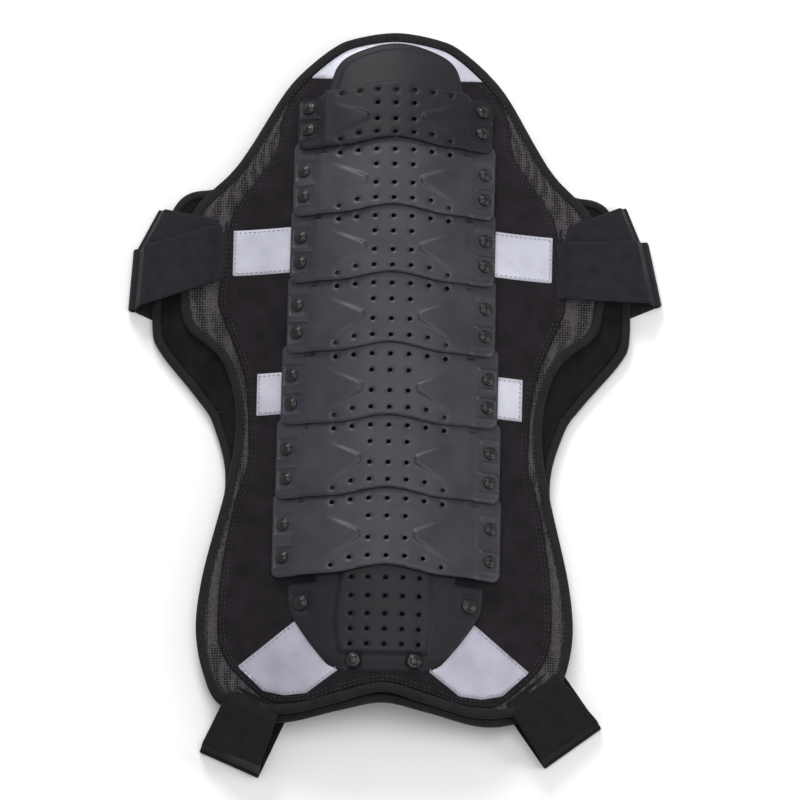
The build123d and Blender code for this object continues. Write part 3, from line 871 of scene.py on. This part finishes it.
def centre_pad():
    """The padded fabric between the plates and the seam, crowned inside its stitching."""
    points, faces = fill(centre_edge, 4.5 * mm)
    x, y = points[:, 0], points[:, 1]
    rim = edge_distance(points, centre_edge)
    crown = -2.3 * mm * (1 - smooth(0, 9 * mm, rim) ** 0.7)
    channel = -0.8 * mm * np.exp(-((rim - 7 * mm) / (1.6 * mm)) ** 2)
    folds = 0.45 * mm * (ripple(x, y, 14 * mm) - 1) * smooth(3 * mm, 14 * mm, rim)
    top = surface_z(x, y) + crown + channel + folds
    vertices, solid = two_sided(points, faces, top, surface_z(x, y) - 5 * mm)
    bend_strips("centre_pad", vertices, solid, centre_fabric, ("panel",))


def mesh_margin():
    """The spacer mesh between the seam and the bound edge."""
    outer = inset(panel_edge, 3 * mm)
    points, faces = fill(outer, 4.5 * mm, [centre_edge])
    x, y = points[:, 0], points[:, 1]
    rim = np.minimum(edge_distance(points, outer), edge_distance(points, centre_edge))
    top = surface_z(x, y) - 2.4 * mm + 1.7 * mm * smooth(0, 9 * mm, rim) + 0.25 * mm * ripple(x, y, 11 * mm)
    vertices, solid = two_sided(points, faces, top, surface_z(x, y) - 5 * mm)
    bend_strips("mesh_margin", vertices, solid, mesh_fabric)


quilt_seams = [((151, 41), (169, 27)), ((128, 3), (142, -10))]


quilt_depth = 2.4 * mm
swell_cap = 5 * mm


def pressed_out(vertices, faces, rim):
    """Blows the liner's cover up from inside with a cloth simulation; its rim stays sewn to the binding."""
    obj = new_object("liner_cover", vertices, faces, [liner_fabric])
    scene = bpy.context.scene
    bpy.context.view_layer.objects.active = obj
    remesh = obj.modifiers.new("remesh", "REMESH")
    remesh.mode = "VOXEL"
    remesh.voxel_size = 4.5 * mm
    take_result(obj)
    start = positions(obj.data)
    held = np.nonzero(edge_distance(start[:, :2], rim) < 5 * mm)[0]
    obj.vertex_groups.new(name="sewn_rim").add([int(i) for i in held], 1.0, "REPLACE")
    cloth = obj.modifiers.new("cloth", "CLOTH")
    cloth.settings.quality = 4
    cloth.settings.mass = 0.3
    cloth.settings.tension_stiffness = 30
    cloth.settings.compression_stiffness = 30
    cloth.settings.bending_stiffness = 2.0
    cloth.settings.vertex_group_mass = "sewn_rim"
    cloth.settings.use_pressure = True
    cloth.settings.uniform_pressure_force = 4.0
    cloth.settings.effector_weights.gravity = 0
    cloth.collision_settings.use_collision = False
    cloth.point_cache.frame_start = 1
    cloth.point_cache.frame_end = 20
    for step in range(1, 21):
        scene.frame_set(step)
    take_result(obj)
    scene.frame_set(1)
    moved = positions(obj.data) - start
    size = np.linalg.norm(moved, axis=1)
    moved *= (np.minimum(size, swell_cap) / np.maximum(size, 1e-9))[:, None]
    polygons = [tuple(polygon.vertices) for polygon in obj.data.polygons]
    bpy.data.objects.remove(obj)
    return start, start + moved, polygons


def take_result(obj):
    """Replaces an object's mesh by what its modifiers make of it."""
    graph = bpy.context.evaluated_depsgraph_get()
    result = bpy.data.meshes.new_from_object(obj.evaluated_get(graph))
    obj.modifiers.clear()
    obj.data = result


def positions(mesh):
    values = np.empty(len(mesh.vertices) * 3)
    mesh.vertices.foreach_get("co", values)
    return values.reshape(-1, 3)


def quilting(x, y, back):
    """How deep the sewn channels are, from 0 to 1; the back face has more of them."""
    points = np.column_stack([x, y])
    groove = np.exp(-(edge_distance(points, inset(liner_edge, 15 * mm)) / (2.2 * mm)) ** 2)
    for (xa, ya), (xb, yb) in quilt_seams:
        for side in (-1, 1):
            seam = np.array([(side * xa, ya), (side * xb, yb)]) * mm
            away = edge_distance(points, seam, closed=False)
            groove = np.maximum(groove, np.exp(-(away / (2.4 * mm)) ** 2))
    rows = np.zeros(len(x))
    for joint_y in joint_ys:
        row = np.exp(-((y - joint_y) / (3 * mm)) ** 2) * smooth(-115 * mm, -95 * mm, -np.abs(x))
        rows = np.maximum(rows, row)
    for column in (0, 48 * mm, 96 * mm):
        rows = np.maximum(rows, np.exp(-((np.abs(x) - column) / (3 * mm)) ** 2))
    return np.where(back, np.maximum(groove, rows), groove)


def quilted_liner():
    """The stuffed liner behind the panel: a swollen cover, sewn down in channels on both faces."""
    outer = inset(liner_edge, 3.5 * mm)
    points, faces = fill(outer, 6 * mm)
    x, y = points[:, 0], points[:, 1]
    roll = smooth(0, 12 * mm, edge_distance(points, outer))
    top = surface_z(x, y) - 6.8 * mm - 2.0 * mm * (1 - roll)
    under = surface_z(x, y) - 13.6 * mm + 1.6 * mm * (1 - roll)
    start, vertices, polygons = pressed_out(*two_sided(points, faces, top, under), outer)
    x, y = vertices[:, 0], vertices[:, 1]
    surface = surface_z(x, y)
    back = start[:, 2] < surface_z(start[:, 0], start[:, 1]) - 10.2 * mm
    groove = quilt_depth * quilting(x, y, back)
    place_at = np.column_stack([x, y])
    clear = edge_distance(place_at, panel_edge) * np.where(inside(place_at, panel_edge), -1, 1)
    ceiling = surface - 5.4 * mm + 2.2 * mm * smooth(1 * mm, 9 * mm, clear)
    front_z = np.minimum(vertices[:, 2], ceiling) - groove
    back_z = np.maximum(np.maximum(vertices[:, 2], surface - 15 * mm) + groove, 0.3 * mm)
    vertices[:, 2] = np.where(back, back_z, front_z)
    bend_strips("quilted_liner", vertices, polygons, liner_fabric, ("liner", "foam_core"))


quilted_liner()
centre_pad()
mesh_margin()
piping("panel_binding", panel_edge, 4.3 * mm, 2.9 * mm, 2.4 * mm)
piping("liner_binding", liner_edge, 4.2 * mm, 4.4 * mm, 10.2 * mm)
stitch_row("seam_stitches_inner", inset(centre_edge, 5.6 * mm), -1.1 * mm, thread)
stitch_row("seam_stitches_outer", inset(centre_edge, 2.4 * mm), -1.6 * mm, thread)
stitch_row("binding_stitches", inset(panel_edge, 7.2 * mm), -0.5 * mm, thread)


# ---------------------------------------------------------------- reflective patches


def patch(name, outline, body, node_name, sewn=True):
    """A thin reflective patch laid on the fabric and sewn round its edge."""
    points, faces = fill(outline, 3 * mm)
    x, y = points[:, 0], points[:, 1]
    rim = edge_distance(points, outline)
    lift = 0.6 * mm * smooth(-0.3 * mm, 1.2 * mm, rim) + 0.12 * mm * ripple(x, y, 9 * mm)
    top = surface_z(x, y) + lift
    vertices, solid = two_sided(points, faces, top, surface_z(x, y) - 0.9 * mm)
    # The corner patches take the darker copy of the reflective cloth: painted shade.
    obj = new_object(name, vertices, solid, [shaded_reflective if "corner" in name else reflective])
    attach(obj, body)
    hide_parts(node_name)
    if sewn:
        stitch_row(f"{name}_stitches", inset(outline, 2.2 * mm), 0.75 * mm, grey_thread,
                   body=body)


def shaped(points, spacing=2.5 * mm):
    line = np.array(points, float) * mm
    line = resample(np.vstack([line, line[:1]]), spacing, closed=True)
    area = np.sum(line[:, 0] * np.roll(line[:, 1], -1) - np.roll(line[:, 0], -1) * line[:, 1])
    return line if area > 0 else line[::-1]


def crescent_outline():
    """Between the panel's edge, drawn in towards (0, 240), and a circle behind the cap."""
    edge = (panel_edge - (0, 0.24)) * 0.902 + (0, 0.24)
    edge = edge[(edge[:, 1] > 0.287)]
    edge = edge[np.argsort(-edge[:, 0])]
    radius, centre_y = 0.056, 0.258
    half = math.sqrt(radius ** 2 - (0.287 - centre_y) ** 2)
    turn = np.linspace(math.atan2(0.029, -half), math.atan2(0.029, half), 40)
    arc = np.column_stack([radius * np.cos(turn), centre_y + radius * np.sin(turn)])
    return shaped(np.vstack([edge, arc]) / mm)


patch("reflector_crescent_patch", crescent_outline(), "cap_segment", "reflector_crescent",
      sewn=False)
for side, sign in (("left", -1), ("right", 1)):
    chest = [(sign * x, y) for x, y in ((86.5, 111), (141, 111), (141, 152), (86.5, 152))]
    waist = [(sign * x, y) for x, y in ((92, -15), (117, -15), (117, 22), (92, 22))]
    corner = [(sign * x, y) for x, y in corner_patch]
    patch(f"reflector_chest_{side}_patch", shaped(chest), "segment_3", f"reflector_chest_{side}")
    patch(f"reflector_waist_{side}_patch", shaped(waist), "segment_5", f"reflector_waist_{side}")
    patch(f"reflector_corner_{side}_patch", shaped(corner), "tail_segment", f"reflector_corner_{side}")


# ---------------------------------------------------------------- straps

strap_thickness = 1.8
floor_gap = 0.1
straps = {
    "upper_left": ((-150, 160), (-152, 108), (-229.5, 137), (-233, 82), 6.4, 42, 3),
    "upper_right": ((144, 148), (144, 97), (226, 154), (239, 97), 6.4, 52, 3),
    "lower_left": ((-90, -281), (-134, -258), (-108, -335), (-160, -313), 3.2, 62, tail),
    "lower_right": ((150, -237), (110, -272), (193, -284), (144, -321), 3.2, 62, tail),
}
shoulder_bands = {
    "left": ((-150, 162), (-150, 120), (-208, 174), (-226, 138)),
    "right": ((150, 162), (150, 116), (206, 185), (226, 138)),
}


def fold_direction(fold):
    (x_a, y_a), (x_b, y_b) = fold
    outward = np.array([-(y_b - y_a), x_b - x_a], float)
    outward /= np.linalg.norm(outward)
    return outward if outward[0] * (x_a + x_b) > 0 else -outward


def ribbon(name, stations, shade, thickness):
    """Webbing through pairs of edge points in millimetres, with rounded selvages and a weave map."""
    pairs = np.array(stations, float) * mm
    middle = pairs.mean(1)
    tangent = np.gradient(middle, axis=0)
    tangent /= np.linalg.norm(tangent, axis=1)[:, None]
    width = pairs[:, 1] - pairs[:, 0]
    normal = np.cross(tangent, width)
    normal /= np.linalg.norm(normal, axis=1)[:, None]
    shares = np.array([0, 0.012, 0.04, 0.09, 0.25, 0.5, 0.75, 0.91, 0.96, 0.988, 1])
    thick = np.array([0.3, 0.75, 1, 0.9, 0.9, 0.9, 0.9, 0.9, 1, 0.75, 0.3]) * thickness * mm / 2
    loop = np.concatenate([shares, shares[::-1]])
    heights = np.concatenate([thick, -thick[::-1]])
    rings = (pairs[:, :1] + width[:, None] * loop[None, :, None] + normal[:, None] * heights[None, :, None])
    count, sides = rings.shape[:2]
    lengths = np.concatenate([[0], np.cumsum(np.linalg.norm(np.diff(middle, axis=0), axis=1))])
    across = np.linalg.norm(width, axis=1)[:, None] * loop[None]
    uv = np.stack([across, np.broadcast_to(lengths[:, None], across.shape)], -1).reshape(-1, 2)
    faces = []
    for i in range(count - 1):
        for k in range(sides):
            m = (k + 1) % sides
            faces.append((i * sides + k, (i + 1) * sides + k, (i + 1) * sides + m, i * sides + m))
    half = sides // 2
    for start in (0, (count - 1) * sides):
        for k in range(half - 1):
            quad = (start + k, start + k + 1, start + sides - 2 - k, start + sides - 1 - k)
            faces.append(quad if start == 0 else quad[::-1])
    obj = new_object(name, rings.reshape(-1, 3), faces, [shade], uv=uv)
    edit = bmesh.new()
    edit.from_mesh(obj.data)
    bmesh.ops.recalc_face_normals(edit, faces=edit.faces)
    edit.to_mesh(obj.data)
    edit.free()
    obj.data.set_sharp_from_angle(angle=math.radians(60))
    return obj


def front_stations(sewn, fold, radius, clearance, bottom):
    """From under the centre seam over the mesh to the outer fold and round it."""
    outward = fold_direction(fold)
    middle = radius - strap_thickness / 2
    bend = [np.array(p, float) - outward * radius for p in fold]
    stations = []
    for share in np.linspace(-0.06, 0.94, 34):
        pair = []
        for (x_in, y_in), end in zip(sewn, bend):
            x = x_in + (end[0] - x_in) * share
            y = y_in + (end[1] - y_in) * share
            start = float(surface_z(x_in * mm, y_in * mm)) / mm + clearance
            finish = bottom + 2 * radius - strap_thickness / 2
            resting = float(surface_z(x * mm, y * mm)) / mm + clearance
            height = max(resting, start + (finish - start) * share)
            tuck = (clearance + 2.6) * (1 - float(smooth(-0.02, 0.24, share)))
            pair.append((x, y, height - tuck))
        stations.append(pair)
    for angle in np.linspace(90, -90, 15):
        reach = middle * math.cos(math.radians(angle))
        height = bottom + radius + middle * math.sin(math.radians(angle))
        stations.append([(*(end + outward * reach), height) for end in bend])
    return stations


def rear_stations(sewn, fold, radius, length):
    """The flat run behind the liner, turned by the slant of its fold."""
    outward = fold_direction(fold)
    start = [np.array(p, float) - outward * (radius + 0.3) for p in fold]
    run = np.array(fold[0], float) + fold[1] - sewn[0] - sewn[1]
    run /= np.linalg.norm(run)
    run = run - outward * (2 * run @ outward)
    height = floor_gap + strap_thickness / 2
    return [[(*(p + run * length * share), height) for p in start] for share in np.linspace(0, 1, 16)]


for name, (in_a, in_b, out_a, out_b, radius, length, index) in straps.items():
    clearance = 6.0 if index == 3 else 2.4
    webbing = elastic_webbing if index == 3 else dark_webbing
    sewn, fold = (in_a, in_b), (out_a, out_b)
    front = ribbon(f"webbing_{name}_front", front_stations(sewn, fold, radius, clearance, floor_gap),
                   webbing, strap_thickness)
    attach(front, bodies[index])
    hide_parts(f"strap_{name}_front")
    rear = ribbon(f"webbing_{name}_rear", rear_stations(np.array(sewn), fold, radius, length),
                  webbing, strap_thickness)
    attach(rear, f"strap_{name}_end")
    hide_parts(f"strap_{name}_rear")
for side, (in_a, in_b, out_a, out_b) in shoulder_bands.items():
    stations = front_stations((in_a, in_b), (out_a, out_b), 3.4, 1.2, 2.5)
    band = ribbon(f"shoulder_webbing_{side}", stations, elastic_webbing, strap_thickness)
    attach(band, "segment_3")
    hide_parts(f"shoulder_band_{side}")


# ---------------------------------------------------------------- floor, light and camera

sensor_width = 36
camera_distance = 12.0
view_width = 0.704
camera_elevation = math.radians(78)
camera_roll = math.radians(1.3)
camera_target = (0.0093, -0.0025, 0.05)


def floor():
    mesh = bpy.data.meshes.new("floor")
    mesh.from_pydata([(-6, -6, 0), (6, -6, 0), (6, 6, 0), (-6, 6, 0)], [], [(0, 1, 2, 3)])
    obj = bpy.data.objects.new("floor", mesh)
    bpy.context.scene.collection.objects.link(obj)
    mesh.materials.append(material("floor_white", (0.9, 0.9, 0.9), 0.9, specular=0.1))


def area_light(name, place_at, size, power):
    lamp = bpy.data.lights.new(name, "AREA")
    lamp.shape = "DISK"
    lamp.size = size
    lamp.energy = power
    obj = bpy.data.objects.new(name, lamp)
    obj.location = place_at
    obj.rotation_euler = Vector(place_at).to_track_quat("Z", "Y").to_euler()
    bpy.context.scene.collection.objects.link(obj)


def camera():
    """Long lens from the foot side, 78 degrees above the floor, rolled a little."""
    lens = bpy.data.cameras.new("camera")
    lens.sensor_width = sensor_width
    lens.lens = sensor_width * camera_distance / view_width
    lens.clip_end = 50
    obj = bpy.data.objects.new("camera", lens)
    back = Vector((0, -math.cos(camera_elevation), math.sin(camera_elevation)))
    obj.location = Vector(camera_target) + back * camera_distance
    turned = back.to_track_quat("Z", "Y").to_matrix()
    obj.rotation_euler = (turned @ Matrix.Rotation(camera_roll, 3, "Z")).to_euler()
    bpy.context.scene.collection.objects.link(obj)
    bpy.context.scene.camera = obj


floor()
area_light("key", (-0.5, 2.3, 1.7), 1.0, 40)
area_light("top", (0.2, 0.1, 3.2), 2.2, 34)
area_light("right", (2.3, -0.3, 1.2), 0.9, 14)
camera()
world = bpy.data.worlds.new("world")
world.use_nodes = True
world.node_tree.nodes["Background"].inputs["Color"].default_value = (1, 1, 1, 1)
world.node_tree.nodes["Background"].inputs["Strength"].default_value = 0.6
bpy.context.scene.world = world
bpy.context.scene.view_settings.view_transform = "Standard"
